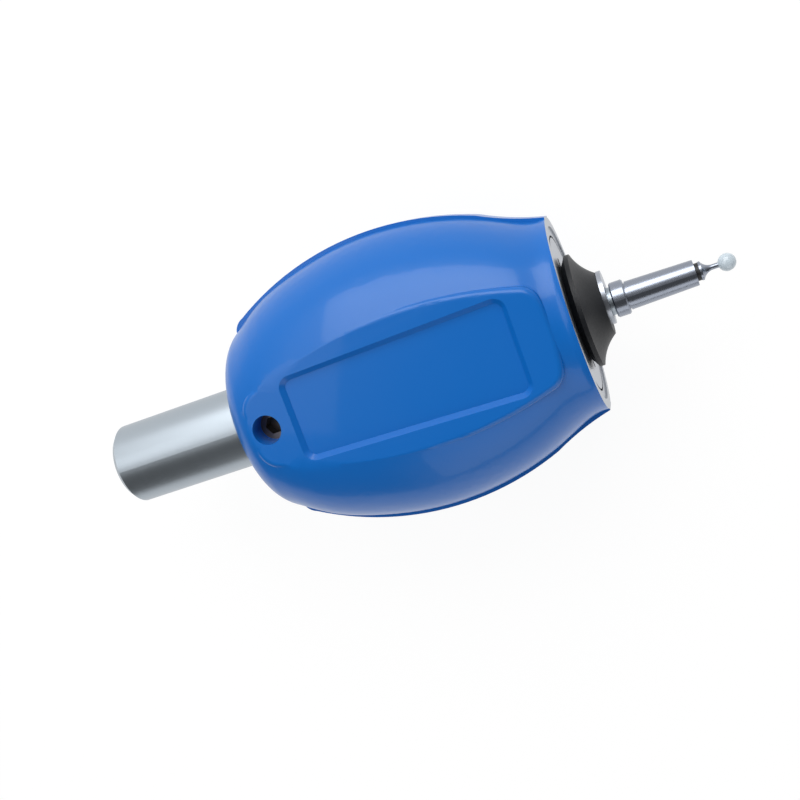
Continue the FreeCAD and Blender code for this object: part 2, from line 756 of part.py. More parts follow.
def make_boot():
    """Rubber boot: a clamped flange, a sleeve through the cover and a concave cone to the washer."""
    body = new_body("boot")
    rim = f"({NOSE} + boot_rim_rise)"
    tube = "(cover_opening - boot_play)"
    lip_back = f"({WASHER_BACK} - boot_lip)"
    revolve(body, "moulded_boot", [
        (CARRIER_FRONT, f"{tube} - boot_wall"),
        (CARRIER_FRONT, "boot_flange_radius"),
        (COVER_BACK, "boot_flange_radius"),
        (COVER_BACK, tube),
        (COVER_FRONT, tube),
        (rim, "boot_rim"),
        (f"{rim} + boot_lip_height", "boot_rim", "boot_cone_arc"),
        (WASHER_BACK, "boot_neck_radius"),
        (WASHER_BACK, "neck_radius + running_gap"),
        (lip_back, "neck_radius + running_gap"),
        (lip_back, "boot_neck_radius - boot_wall / 2", "-boot_cone_arc"),
        (f"{rim} + boot_wall", "boot_rim - 2 * boot_wall"),
        (f"{rim}", "boot_rim - 2 * boot_wall"),
        (COVER_FRONT, f"{tube} - boot_wall"),
    ])
    return body


def make_boot_washer():
    """Stamped washer whose rim stands off its hole, toward +Y."""
    body = new_body("boot_washer")
    disc = new_sketch(body, "rim_outline", "YZ_Plane", WASHER_BACK)
    draw_circle(disc, "washer_offset", "0", "washer_radius")
    extrude(body, "disc", disc, "washer_thickness")
    hole(body, "washer_hole", "0", "0", "neck_radius", "washer_thickness", plane="YZ_Plane", lift=WASHER_FRONT)
    return body


# ---------------------------------------------------------------- gimbal

def make_gimbal_carrier():
    body = new_body("gimbal_carrier")
    revolve(body, "turned_carrier", [
        (BORE_FLOOR, "carrier_inner"),
        (BORE_FLOOR, "nose_bore"),
        (CARRIER_FRONT, "nose_bore"),
        (CARRIER_FRONT, "carrier_inner"),
    ])
    hole(body, "pin_holes", PIVOT, "0", "pin_radius", "2 * nose_bore", plane="XZ_Plane", both=True)
    return body


def make_carrier_pins():
    body = new_body("carrier_pins", x=PIVOT)
    pin = revolve(body, "pin", [
        ("0", "carrier_pin_inner"),
        ("pin_radius", "carrier_pin_inner"),
        ("pin_radius", "nose_bore - ring_pin_inset"),
        ("0", "nose_bore - ring_pin_inset"),
    ], axis="V_Axis", plane="XY_Plane")
    pattern(body, "two_pins", [pin], "X_Axis", 2)
    return body


def make_gimbal_ring():
    body = new_body("gimbal_ring")
    revolve(body, "turned_ring", [
        (f"{PIVOT} - ring_half", "ring_inner"),
        (f"{PIVOT} - ring_half", "ring_outer"),
        (f"{PIVOT} + ring_half", "ring_outer"),
        (f"{PIVOT} + ring_half", "ring_inner"),
    ])
    hole(body, "carrier_pin_holes", PIVOT, "0", "pin_radius + running_gap", "2 * nose_bore",
         plane="XZ_Plane", both=True)
    hole(body, "ring_pin_holes", PIVOT, "0", "pin_radius", "2 * nose_bore", both=True)
    return body


def make_ring_pins():
    body = new_body("ring_pins", x=PIVOT)
    pin = revolve(body, "pin", [
        ("0", "ring_pin_inner"),
        ("pin_radius", "ring_pin_inner"),
        ("pin_radius", "ring_outer - ring_pin_inset"),
        ("0", "ring_outer - ring_pin_inset"),
    ], axis="V_Axis")
    pattern(body, "two_pins", [pin], "X_Axis", 2)
    return body


def make_gimbal_sleeve():
    body = new_body("gimbal_sleeve")
    revolve(body, "turned_sleeve", [
        (SLEEVE_REAR, "arm_radius + running_gap"),
        (SLEEVE_REAR, "sleeve_outer"),
        (f"{PIVOT} + sleeve_half", "sleeve_outer"),
        (f"{PIVOT} + sleeve_half", "arm_radius + running_gap"),
    ])
    hole(body, "ring_pin_holes", PIVOT, "0", "pin_radius + running_gap", "2 * nose_bore", both=True)
    return body


# ---------------------------------------------------------------- probe arm and stylus

def make_probe_arm():
    """The lever: a dished head behind the gimbal, a ground journal and a threaded front end."""
    body = new_body("probe_arm")
    shoulder = f"({CARRIER_FRONT} + arm_shoulder_past_front)"
    revolve(body, "turned_arm", [
        (DISH_APEX, "0"),
        (ARM_REAR, "dish_radius"),
        (ARM_REAR, "arm_head"),
        (ARM_HEAD_FRONT, "arm_head"),
        (ARM_HEAD_FRONT, "arm_radius"),
        (shoulder, "arm_radius"),
        (shoulder, "neck_radius"),
        (LOCK_BACK, "neck_radius"),
        (LOCK_BACK, "stud_radius_front"),
        (f"{LOCK_BACK} + arm_tip_reach", "stud_radius_front"),
        (f"{LOCK_BACK} + arm_tip_reach", "0"),
    ])
    return body


def make_lock_collar():
    body = new_body("lock_collar")
    revolve(body, "turned_collar", [
        (LOCK_BACK, "stud_radius_front"),
        (LOCK_BACK, "lock_radius - lock_chamfer"),
        (f"{LOCK_BACK} + lock_chamfer", "lock_radius"),
        (f"{LOCK_FRONT} - lock_chamfer", "lock_radius"),
        (LOCK_FRONT, "lock_radius - lock_chamfer"),
        (LOCK_FRONT, "stud_radius_front"),
    ])
    return body


def make_stylus_sleeve():
    """Tapered, polished sleeve that screws on the arm and takes the stylus."""
    body = new_body("stylus_sleeve")
    bore_end = f"({LOCK_BACK} + arm_tip_reach)"
    revolve(body, "turned_sleeve", [
        (LOCK_FRONT, "stud_radius_front"),
        (LOCK_FRONT, "sleeve_root_radius - sleeve_groove"),
        (f"{LOCK_FRONT} + sleeve_groove", "sleeve_root_radius - sleeve_groove"),
        (f"{LOCK_FRONT} + sleeve_groove", "sleeve_root_radius"),
        (SLEEVE_TIP, "sleeve_tip_radius"),
        (SLEEVE_TIP, "stem_bore"),
        (f"{SLEEVE_TIP} - stem_bore_depth", "stem_bore"),
        (f"{SLEEVE_TIP} - stem_bore_depth", "0"),
        (bore_end, "0"),
        (bore_end, "stud_radius_front"),
    ])
    return body


def make_break_collar():
    body = new_body("break_collar")
    revolve(body, "turned_collar", [
        (SLEEVE_TIP, "stem_bore"),
        (SLEEVE_TIP, "break_radius"),
        (BREAK_TIP, "break_radius"),
        (BREAK_TIP, "stem_bore"),
    ])
    return body


def make_stylus_stem():
    """Root pin, faceted cone and thin stem, turned as one piece."""
    body = new_body("stylus_stem")
    revolve(body, "turned_stem", [
        (f"{SLEEVE_TIP} - stem_bore_depth", "0"),
        (f"{SLEEVE_TIP} - stem_bore_depth", "stem_bore"),
        (BREAK_TIP, "stem_bore"),
        (BREAK_TIP, "cone_root"),
        (f"{BREAK_TIP} + cone_land", "cone_root", "cone_arc"),
        (f"{BREAK_TIP} + cone_length", "stem_radius"),
        (f"{BALL} - ball_seat", "stem_radius"),
        (f"{BALL} - ball_seat", "0"),
    ])
    return body


def make_stylus_ball():
    body = new_body("stylus_ball", x=BALL)
    revolve(body, "ground_ball", [
        ("-ball_seat", "0"),
        ("-ball_seat", "stem_radius"),
        ("-sqrt(ball_radius ^ 2 - stem_radius ^ 2)", "stem_radius", "-ball_radius"),
        ("0", "ball_radius", "-ball_radius"),
        ("ball_radius", "0"),
    ])
    return body


# ---------------------------------------------------------------- spindle

def make_transfer_ball():
    body = new_body("transfer_ball", x=TRANSFER)
    revolve(body, "ground_ball", [
        ("-transfer_radius", "0", "-transfer_radius"),
        ("0", "transfer_radius", "-transfer_radius"),
        ("transfer_radius", "0"),
    ])
    return body


def make_rack_spindle():
    """Rod with a cupped spring head in front and a rack cut in its side behind."""
    body = new_body("rack_spindle")
    rear_end = f"({ARBOR_X} - rack_lead)"
    revolve(body, "turned_spindle", [
        (rear_end, "0"),
        (rear_end, "spindle_radius"),
        (SPINDLE_HEAD_BACK, "spindle_radius"),
        (SPINDLE_HEAD_BACK, "spindle_head"),
        (SPINDLE_HEAD_FRONT, "spindle_head"),
        (SPINDLE_HEAD_FRONT, "spindle_radius"),
        (f"{TRANSFER} - sqrt(transfer_radius ^ 2 - transfer_cup ^ 2)", "spindle_radius"),
        (f"{TRANSFER} - sqrt(transfer_radius ^ 2 - transfer_cup ^ 2)", "transfer_cup", "transfer_radius"),
        (f"{TRANSFER} - transfer_radius", "0"),
    ])
    flat = new_sketch(body, "rack_flat_outline", "XY_Plane")
    rack_top = "(rack_line + tooth_addendum)"
    draw_box(flat, f"{rear_end} - rack_lead", rack_top, f"{ARBOR_X} + travel + rack_lead", "2 * spindle_radius")
    extrude(body, "rack_flat", flat, "4 * spindle_radius", cut=True, both=True)
    gaps_behind = int((value("rack_lead") - value("tooth_pitch") / 2) / value("tooth_pitch"))
    gaps_ahead = int((value("travel + rack_lead") - value("tooth_pitch") / 2) / value("tooth_pitch"))
    first = f"({ARBOR_X} - {gaps_behind} * tooth_pitch)"
    half_gap = "(tooth_pitch / 4 + tooth_backlash / 4)"
    slope = "tan(pressure_angle)"
    gap = new_sketch(body, "rack_gap_outline", "XY_Plane")
    draw_outline(gap, [
        (f"{first} - {half_gap} + tooth_dedendum * {slope}", "rack_line - tooth_dedendum"),
        (f"{first} + {half_gap} - tooth_dedendum * {slope}", "rack_line - tooth_dedendum"),
        (f"{first} + {half_gap} + 2 * tooth_addendum * {slope}", "rack_line + 2 * tooth_addendum"),
        (f"{first} - {half_gap} - 2 * tooth_addendum * {slope}", "rack_line + 2 * tooth_addendum"),
    ])
    first_gap = extrude(body, "rack_gap", gap, "4 * spindle_radius", cut=True, both=True)
    rack = body.newObject("PartDesign::LinearPattern", "rack_teeth")
    rack.Originals = [first_gap]
    rack.Direction = (origin_feature(body, "X_Axis"), [""])
    count = gaps_behind + gaps_ahead + 1
    rack.Occurrences = count
    tie(rack, Length=f"{count - 1} * tooth_pitch")
    body.Tip = rack
    doc.recompute()
    return body


def make_spindle_bush():
    body = new_body("spindle_bush")
    revolve(body, "turned_bush", [
        (f"{SPRING_FLOOR} - bush_length", "spindle_radius + running_gap"),
        (f"{SPRING_FLOOR} - bush_length", "bush_radius"),
        (SPRING_FLOOR, "bush_radius"),
        (SPRING_FLOOR, "bush_flange_radius"),
        (BUSH_FRONT, "bush_flange_radius"),
        (BUSH_FRONT, "spindle_radius + running_gap"),
    ])
    return body


def make_return_spring():
    """Compression spring between the bush's flange and the spindle's head."""
    wire = value("spring_wire")
    mean = value("spring_mean_radius")
    height = value(f"{SPINDLE_HEAD_BACK} - {BUSH_FRONT} - 2 * spring_wire")
    helix = Part.makeLongHelix(height / value("spring_turns"), height, mean)
    lead = FreeCAD.Vector(0, 2 * math.pi * mean, height / value("spring_turns"))
    profile = Part.Wire(Part.makeCircle(wire, FreeCAD.Vector(mean, 0, 0), lead))
    coil = Part.Wire(helix.Edges).makePipeShell([profile], True, True)
    along_axis = FreeCAD.Rotation(FreeCAD.Vector(0, 1, 0), 90)
    return coded_part("return_spring", coil, x=f"{BUSH_FRONT} + spring_wire", turn=along_axis)


# ---------------------------------------------------------------- gear train

def gear_blank(teeth, phase, thickness):
    """A toothed disc, with one tooth centred at the phase angle; flanks are straight."""
    pitch = value("tooth_pitch")
    pitch_radius = teeth * pitch / (2 * math.pi)
    slope = math.tan(math.radians(value("pressure_angle")))
    addendum = value("tooth_addendum")
    half_tooth = pitch / 4 - value("tooth_backlash") / 4
    half_tip = half_tooth - addendum * slope
    corners = []
    for tooth in range(teeth):
        middle = phase + 2 * math.pi * tooth / teeth
        for radius, half in (
            (pitch_radius - value("tooth_dedendum"), -half_tooth),
            (pitch_radius + addendum, -half_tip),
            (pitch_radius + addendum, half_tip),
            (pitch_radius - value("tooth_dedendum"), half_tooth),
        ):
            angle = middle + half / pitch_radius
            corners.append(FreeCAD.Vector(radius * math.cos(angle), radius * math.sin(angle), 0))
    outline = Part.makePolygon(corners + corners[:1])
    return Part.Face(outline).extrude(FreeCAD.Vector(0, 0, thickness))


def meshed_phase(driver_phase, driver_teeth, direction, driven_teeth):
    """Phase of a gear that meets the driver's teeth with its gaps, seen along the direction."""
    pitch = value("tooth_pitch")
    driver_radius = driver_teeth * pitch / (2 * math.pi)
    driven_radius = driven_teeth * pitch / (2 * math.pi)
    ahead = (driver_phase - direction) * driver_radius
    return direction + math.pi - ahead / driven_radius + math.pi / driven_teeth


def make_wheel(label, teeth, phase, arbor_radius, x, y, level):
    """A spoked brass wheel, its front face at the level below the axis."""
    thickness = value("wheel_thickness")
    pitch_radius = teeth * value("tooth_pitch") / (2 * math.pi)
    rim_inner = pitch_radius - value("tooth_dedendum") - value("wheel_rim")
    wheel = gear_blank(teeth, phase, thickness)
    window = Part.makeCylinder(rim_inner, thickness).cut(Part.makeCylinder(value("wheel_hub"), thickness))
    width = value("spoke_width")
    spokes = int(value("wheel_spokes"))
    for index in range(spokes):
        spoke = Part.makeBox(rim_inner, width, thickness, FreeCAD.Vector(0, -width / 2, 0))
        spoke.rotate(FreeCAD.Vector(0, 0, 0), FreeCAD.Vector(0, 0, 1), 360 * index / spokes)
        window = window.cut(spoke)
    wheel = wheel.cut(window).cut(Part.makeCylinder(value(arbor_radius), thickness))
    return coded_part(label, wheel, x, y, f"-{level} - wheel_thickness")


def arbor_shape(radius, low, high):
    """A plain arbor between two heights."""
    return Part.makeCylinder(value(radius), value(high) - value(low), FreeCAD.Vector(0, 0, value(low)))


def make_gear_train():
    rack_teeth = int(value("rack_pinion_teeth"))
    centre_teeth = int(value("centre_teeth"))
    wheel_teeth = int(value("wheel_teeth"))

    pinion = gear_blank(rack_teeth, -math.pi / 2, 2 * value("rack_pinion_half"))
    pinion.translate(FreeCAD.Vector(0, 0, -value("rack_pinion_half")))
    small_tip = f"-{DIAL_FACE} - small_pointer_lift - pointer_hub_height"
    rack_arbor = pinion.fuse(arbor_shape("arbor_radius", small_tip, "rack_pinion_half")).removeSplitter()
    coded_part("rack_arbor", rack_arbor, ARBOR_X, ARBOR_Y)
    to_centre = math.atan2(-value(ARBOR_Y), value(f"{DIAL} - {ARBOR_X}"))
    make_wheel("rack_wheel", wheel_teeth, to_centre, "arbor_radius", ARBOR_X, ARBOR_Y, "rack_wheel_level")

    centre_phase = meshed_phase(to_centre, wheel_teeth, to_centre, centre_teeth)
    length = value("plate_gap - 2 * pivot_gap")
    centre_pinion = gear_blank(centre_teeth, centre_phase, length)
    centre_pinion.translate(FreeCAD.Vector(0, 0, -value(f"{FRONT_PLATE} - pivot_gap")))
    main_tip = f"-{DIAL_FACE} - main_pointer_lift - pointer_hub_height"
    centre_arbor = centre_pinion.fuse(arbor_shape("centre_arbor_radius", main_tip, "-cavity_top - pivot_gap"))
    coded_part("centre_arbor", centre_arbor.removeSplitter(), DIAL)

    takeup_direction = math.radians(value("takeup_turn"))
    takeup_phase = meshed_phase(centre_phase, centre_teeth, takeup_direction, wheel_teeth)
    make_wheel("takeup_wheel", wheel_teeth, takeup_phase, "arbor_radius", TAKEUP_X, TAKEUP_Y,
               "takeup_wheel_level")
    collet = Part.makeCylinder(value("collet_radius"), value("hairspring_height"),
                               FreeCAD.Vector(0, 0, -value("hairspring_level + hairspring_height")))
    takeup = arbor_shape("arbor_radius", f"-{FRONT_PLATE_FACE} + pivot_gap", "-cavity_top - pivot_gap").fuse(collet)
    coded_part("takeup_arbor", takeup, TAKEUP_X, TAKEUP_Y)
    make_hairspring()


def make_hairspring():
    """A flat spiral of half turns, each a step wider than the one before."""
    step = value("hairspring_step") / 2
    half_thickness = value("hairspring_thickness") / 2
    height = value("hairspring_height")
    up = FreeCAD.Vector(0, 0, 1)
    centre_x = 0.0
    radius = value("collet_radius + hairspring_thickness / 2")
    ribbon = None
    for index in range(int(value("hairspring_halves"))):
        side = 1 if index % 2 == 0 else -1
        start_angle = 0 if side > 0 else 180
        place = FreeCAD.Vector(centre_x, 0, 0)
        outer = Part.makeCylinder(radius + half_thickness, height, place, up, 180)
        inner = Part.makeCylinder(radius - half_thickness, height, place, up, 180)
        turn = outer.cut(inner)
        turn.rotate(place, up, start_angle)
        ribbon = turn if ribbon is None else ribbon.fuse(turn)
        centre_x += side * step
        radius += step
    return coded_part("hairspring", ribbon.removeSplitter(), TAKEUP_X, TAKEUP_Y,
                      "-hairspring_level - hairspring_height")


# ---------------------------------------------------------------- movement frame

def pillar_place(index):
    """Centre of one of the three pillars, seen along Z."""
    angle = 90 + 120 * index
    return f"{DIAL} + {PILLAR_CIRCLE} * cos({angle})", f"{PILLAR_CIRCLE} * sin({angle})"


def make_plate(label, level):
    """A round movement plate with bearing holes for the three arbors."""
    body = new_body(label)
    post(body, "plate_disc", DIAL, "0", PLATE_RADIUS, "plate_thickness", lift=f"-{level}", backwards=True)
    for name, x, y, radius in (
        ("rack_bearing", ARBOR_X, ARBOR_Y, "arbor_radius + running_gap"),
        ("centre_bearing", DIAL, "0", "centre_arbor_radius + running_gap"),
        ("takeup_bearing", TAKEUP_X, TAKEUP_Y, "arbor_radius + running_gap"),
    ):
        hole(body, name, x, y, radius, "plate_thickness", lift=f"-{level}")
    for index in range(3):
        x, y = pillar_place(index)
        hole(body, f"screw_hole_{index}", x, y, "plate_screw_radius", "plate_thickness", lift=f"-{level}")
    return body


def make_front_plate():
    """The plate under the dial; it also carries the stud that holds the hairspring's outer end."""
    body = make_plate("front_plate", FRONT_PLATE)
    spring_end = "collet_radius + hairspring_thickness / 2 + hairspring_halves * hairspring_step / 2"
    post(body, "hairspring_stud", f"{TAKEUP_X} + {spring_end}", f"{TAKEUP_Y} + stud_radius", "stud_radius",
         f"{FRONT_PLATE} - hairspring_level", lift=f"-{FRONT_PLATE}")
    return body


def make_pillars():
    body = new_body("pillars")
    for index in range(3):
        x, y = pillar_place(index)
        post(body, f"pillar_{index}", x, y, "pillar_radius", "plate_gap", lift=f"-{FRONT_PLATE}")
        hole(body, f"pillar_bore_{index}", x, y, "plate_screw_radius", "plate_gap", lift=f"-{BACK_PLATE}")
    return body


def make_movement_screws():
    """Three slotted screws through the plates and pillars into the housing."""
    body = new_body("movement_screws")
    for index in range(3):
        x, y = pillar_place(index)
        post(body, f"screw_{index}", x, y, "plate_screw_radius",
             f"{FRONT_PLATE_FACE} - cavity_top + plate_screw_grip", lift=f"-{FRONT_PLATE_FACE}")
        post(body, f"head_{index}", x, y, "plate_screw_head", "plate_screw_head_height",
             lift=f"-{FRONT_PLATE_FACE}", backwards=True)
        slot = new_sketch(body, f"slot_{index}_outline", "XY_Plane",
                          f"-{FRONT_PLATE_FACE} - plate_screw_head_height")
        draw_box(slot, f"{x} - plate_screw_head", f"{y} - plate_screw_slot / 2",
                 f"{x} + plate_screw_head", f"{y} + plate_screw_slot / 2")
        extrude(body, f"slot_{index}", slot, "plate_screw_slot", cut=True, backwards=True)
    return body


# ---------------------------------------------------------------- dial, pointers and bezel

def make_dial_plate():
    body = new_body("dial_plate", x=DIAL)
    post(body, "dial_disc", "0", "0", DIAL_RADIUS, "dial_thickness", lift="-dial_seat", backwards=True)
    hole(body, "centre_hole", "0", "0", "dial_hole", "dial_thickness", lift="-dial_seat")
    hole(body, "small_hole", f"{ARBOR_X} - {DIAL}", ARBOR_Y, "small_hole", "dial_thickness", lift="-dial_seat")
    return body


def make_dial_spacer():
    """Ring between the dial's edge and the crystal."""
    body = new_body("dial_spacer", x=DIAL)
    height = f"{CRYSTAL_BACK} - {DIAL_FACE}"
    post(body, "spacer_disc", "0", "0", DIAL_RADIUS, height, lift=f"-{CRYSTAL_BACK}")
    hole(body, "spacer_bore", "0", "0", WINDOW_RADIUS, height, lift=f"-{DIAL_FACE}")
    return body


def make_pointer(label, x, y, lift, length, tail, arbor):
    """A flat pointer that shows zero toward the shank, on a turned hub."""
    body = new_body(label, x=x, y=y)
    back = f"-{DIAL_FACE} - {lift}"
    blade = new_sketch(body, "blade_outline", "XY_Plane", back)
    draw_outline(blade, [
        (f"-{length}", "-pointer_tip_half"),
        (tail, "-pointer_root_half"),
        (tail, "pointer_root_half"),
        (f"-{length}", "pointer_tip_half"),
    ])
    extrude(body, "blade", blade, "pointer_thickness", backwards=True)
    post(body, "hub", "0", "0", "pointer_hub", "pointer_hub_height", lift=back, backwards=True)
    hole(body, "hub_bore", "0", "0", arbor, "pointer_hub_height", lift=back)
    return body


def make_crystal():
    body = new_body("crystal", x=DIAL)
    post(body, "crystal_disc", "0", "0", CRYSTAL_RADIUS, "crystal_thickness", lift=f"-{CRYSTAL_BACK}",
         backwards=True)
    return body


def make_crystal_seal():
    body = new_body("crystal_seal", x=DIAL)
    post(body, "seal_disc", "0", "0", CRYSTAL_RADIUS, "seal_thickness", lift="-boss_face", backwards=True)
    hole(body, "seal_bore", "0", "0", f"{CRYSTAL_RADIUS} - seal_width", "seal_thickness", lift="-boss_face")
    return body


def make_bezel():
    """Ring that screws on the housing's spigot and clamps the crystal; it faces the -Z side."""
    body = new_body("bezel", x=DIAL)
    lip_back = f"-{CRYSTAL_BACK} - crystal_thickness"
    revolve(body, "turned_bezel", [
        (f"{SPIGOT_RADIUS} + bezel_play", "-front_land"),
        (f"{SPIGOT_RADIUS} + bezel_play", "-boss_face"),
        (f"{CRYSTAL_RADIUS} + crystal_play", "-boss_face"),
        (f"{CRYSTAL_RADIUS} + crystal_play", lip_back),
        (WINDOW_RADIUS, lip_back),
        (WINDOW_RADIUS, f"-{BEZEL_FACE} + bezel_bevel"),
        (f"{WINDOW_RADIUS} + bezel_bevel", f"-{BEZEL_FACE}"),
        ("boss_radius - bezel_chamfer", f"-{BEZEL_FACE}"),
        ("boss_radius", f"-{BEZEL_FACE} + bezel_chamfer"),
        ("boss_radius", "-front_land"),
    ], axis="V_Axis")
    notch = hole(body, "spanner_hole", "boss_radius - spanner_inset", "0", "spanner_hole", "spanner_depth",
                 lift=f"-{BEZEL_FACE}", backwards=True)
    pattern(body, "spanner_holes", [notch], "Z_Axis", 2)
    return body


# ---------------------------------------------------------------- build, check and write

make_housing()
make_shank()
make_shank_screw()
make_runout_screws()
make_nose_cover()
make_boot()
make_boot_washer()
make_gimbal_carrier()
make_carrier_pins()
make_gimbal_ring()
make_ring_pins()
make_gimbal_sleeve()
make_probe_arm()
make_lock_collar()
make_stylus_sleeve()
make_break_collar()
make_stylus_stem()
make_stylus_ball()
make_transfer_ball()
make_rack_spindle()
make_spindle_bush()
make_return_spring()
make_gear_train()
make_plate("back_plate", "cavity_top")
make_front_plate()
make_pillars()
make_movement_screws()
make_dial_plate()
make_dial_spacer()
make_pointer("main_pointer", DIAL, "0", "main_pointer_lift", f"({WINDOW_RADIUS} - main_pointer_short)", "main_pointer_tail",
             "centre_arbor_radius")
make_pointer("small_pointer", ARBOR_X, ARBOR_Y, "small_pointer_lift", "small_pointer_length",
             "small_pointer_tail", "arbor_radius")
make_crystal()
make_crystal_seal()
make_bezel()
doc.recompute()

PIECES = (
    "housing", "shank", "shank_screw", "runout_screws", "nose_cover", "boot", "boot_washer",
    "gimbal_carrier", "carrier_pins", "gimbal_ring", "ring_pins", "gimbal_sleeve", "probe_arm",
    "lock_collar", "stylus_sleeve", "break_collar", "stylus_stem", "stylus_ball", "transfer_ball",
    "rack_spindle", "spindle_bush", "return_spring", "rack_arbor", "rack_wheel", "centre_arbor",
    "takeup_arbor", "takeup_wheel", "hairspring", "back_plate", "front_plate", "pillars",
    "movement_screws", "dial_plate", "dial_spacer", "main_pointer", "small_pointer", "crystal",
    "crystal_seal", "bezel",
)
faults = [f"{item.Label}: {item.State}" for item in doc.Objects
          if "Invalid" in item.State or "Error" in item.State]
for piece in PIECES:
    shape = doc.getObjectsByLabel(piece)[0].Shape
    if shape.isNull() or not shape.isValid() or not shape.Solids:
        faults.append(f"{piece}: no valid solid")
if faults:
    raise RuntimeError("; ".join(faults))
for piece in PIECES:
    doc.getObjectsByLabel(piece)[0].Shape.exportStep(f"parts/{piece}.step")
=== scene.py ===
import math

import bmesh
import bpy
from mathutils import Matrix, Vector


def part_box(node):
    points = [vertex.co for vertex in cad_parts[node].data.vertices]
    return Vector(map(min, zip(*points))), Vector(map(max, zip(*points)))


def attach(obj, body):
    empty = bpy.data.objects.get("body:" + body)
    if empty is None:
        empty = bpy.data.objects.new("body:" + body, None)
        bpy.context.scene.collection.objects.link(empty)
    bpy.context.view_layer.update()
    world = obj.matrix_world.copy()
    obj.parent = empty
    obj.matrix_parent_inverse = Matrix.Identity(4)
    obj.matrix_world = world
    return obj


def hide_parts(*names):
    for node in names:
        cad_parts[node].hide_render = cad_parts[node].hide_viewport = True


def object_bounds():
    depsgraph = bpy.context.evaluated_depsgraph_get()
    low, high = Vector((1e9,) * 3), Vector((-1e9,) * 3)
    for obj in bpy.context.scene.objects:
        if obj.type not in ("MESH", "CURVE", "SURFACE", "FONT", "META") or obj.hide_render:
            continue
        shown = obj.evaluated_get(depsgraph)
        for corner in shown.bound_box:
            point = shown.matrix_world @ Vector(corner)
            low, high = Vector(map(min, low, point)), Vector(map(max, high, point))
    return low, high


# An edge finder that lies on its dial: a blue lacquered barrel, a ground shank, a rubber boot
# and a ball stylus. Row frame: +X from the shank to the ball, +Z out of the back land. Metres.

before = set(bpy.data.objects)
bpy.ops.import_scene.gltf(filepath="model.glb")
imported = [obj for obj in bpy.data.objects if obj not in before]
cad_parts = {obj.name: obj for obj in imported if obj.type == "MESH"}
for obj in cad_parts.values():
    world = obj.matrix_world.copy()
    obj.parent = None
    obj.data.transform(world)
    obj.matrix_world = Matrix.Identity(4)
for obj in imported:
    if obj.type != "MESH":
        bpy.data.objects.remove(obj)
cad_low, cad_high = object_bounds()
MM = 0.001


# ---------------------------------------------------------------- materials

def colour(code):
    """sRGB hex to linear."""
    parts = [int(code[i:i + 2], 16) / 255 for i in (1, 3, 5)]
    return [p / 12.92 if p <= 0.04045 else ((p + 0.055) / 1.055) ** 2.4 for p in parts] + [1.0]


def add(tree, kind, settings=None, **links):
    """One node: settings are its own properties, links its inputs by name, or i0, i1 by number."""
    node = tree.nodes.new(kind)
    for name, setting in (settings or {}).items():
        setattr(node, name, setting)
    for name, source in links.items():
        numbered = name[0] == "i" and name[1:].isdigit()
        socket = node.inputs[int(name[1:]) if numbered else name.replace("_", " ")]
        if isinstance(source, bpy.types.NodeSocket):
            tree.links.new(source, socket)
        else:
            socket.default_value = source
    return node


def surface(name, base, roughness, metallic=0.0, **sockets):
    """A Principled material; returns it with its tree and shader."""
    material = bpy.data.materials.new(name)
    material.use_nodes = True
    tree = material.node_tree
    tree.nodes.clear()
    shader = add(tree, "ShaderNodeBsdfPrincipled")
    shader.inputs["Base Color"].default_value = colour(base)
    shader.inputs["Roughness"].default_value = roughness
    shader.inputs["Metallic"].default_value = metallic
    for socket, number in sockets.items():
        shader.inputs[socket.replace("_", " ")].default_value = number
    add(tree, "ShaderNodeOutputMaterial", Surface=shader.outputs["BSDF"])
    return material, tree, shader


def object_coordinates(tree, stretch=(1, 1, 1)):
    """Object coordinates in millimetres, stretched along each axis."""
    place = add(tree, "ShaderNodeTexCoord")
    mapping = add(tree, "ShaderNodeMapping", Vector=place.outputs["Object"],
                  Scale=[1000 * s for s in stretch])
    return mapping.outputs["Vector"]


def roughen(tree, shader, pattern, low, high):
    """Drive roughness between two values by a pattern."""
    spread = add(tree, "ShaderNodeMapRange", Value=pattern, To_Min=low, To_Max=high)
    tree.links.new(spread.outputs["Result"], shader.inputs["Roughness"])


def bump(tree, shader, height, depth_mm, strength=1.0):
    relief = add(tree, "ShaderNodeBump", Height=height, Strength=strength, Distance=depth_mm * MM)
    tree.links.new(relief.outputs["Normal"], shader.inputs["Normal"])


def noise(tree, vector, scale, detail=2.0):
    return add(tree, "ShaderNodeTexNoise", Vector=vector, Scale=scale, Detail=detail).outputs["Fac"]


def make_lacquer():
    """Stove-enamelled gloss lacquer on cast aluminium: deep blue with a very faint orange peel."""
    material, tree, shader = surface("stove_enamel_blue", "#0067BE", 0.3, Coat_Weight=0.2, Coat_Roughness=0.05,
                                     Specular_IOR_Level=0.3)
    where = object_coordinates(tree)
    roughen(tree, shader, noise(tree, where, 0.08, 3.0), 0.26, 0.36)
    bump(tree, shader, noise(tree, where, 0.5, 3.0), 0.012)
    return material


def make_bare_casting():
    """Cast aluminium faced on a lathe and left bare: pale grey with fine rings."""
    material, tree, shader = surface("faced_cast_aluminium", "#B4B8BE", 0.36, 1.0)
    rings = noise(tree, object_coordinates(tree, (0.1, 2, 2)), 1.0, 3.0)
    roughen(tree, shader, rings, 0.3, 0.45)
    return material


def make_ground_steel():
    """Cylindrically ground hardened steel: pale, satin, with fine rings round the axis."""
    material, tree, shader = surface("ground_steel", "#A9B2BA", 0.34, 1.0)
    rings = noise(tree, object_coordinates(tree, (6, 0.15, 0.15)), 1.0, 4.0)
    roughen(tree, shader, rings, 0.29, 0.44)
    bump(tree, shader, rings, 0.004)
    return material


def make_turned_steel():
    """Fine turned steel left bare: concentric tool marks catch the light."""
    material, tree, shader = surface("turned_steel", "#A4A9B2", 0.3, 1.0)
    rings = noise(tree, object_coordinates(tree, (0.1, 3, 3)), 1.0, 3.0)
    roughen(tree, shader, rings, 0.22, 0.4)
    return material


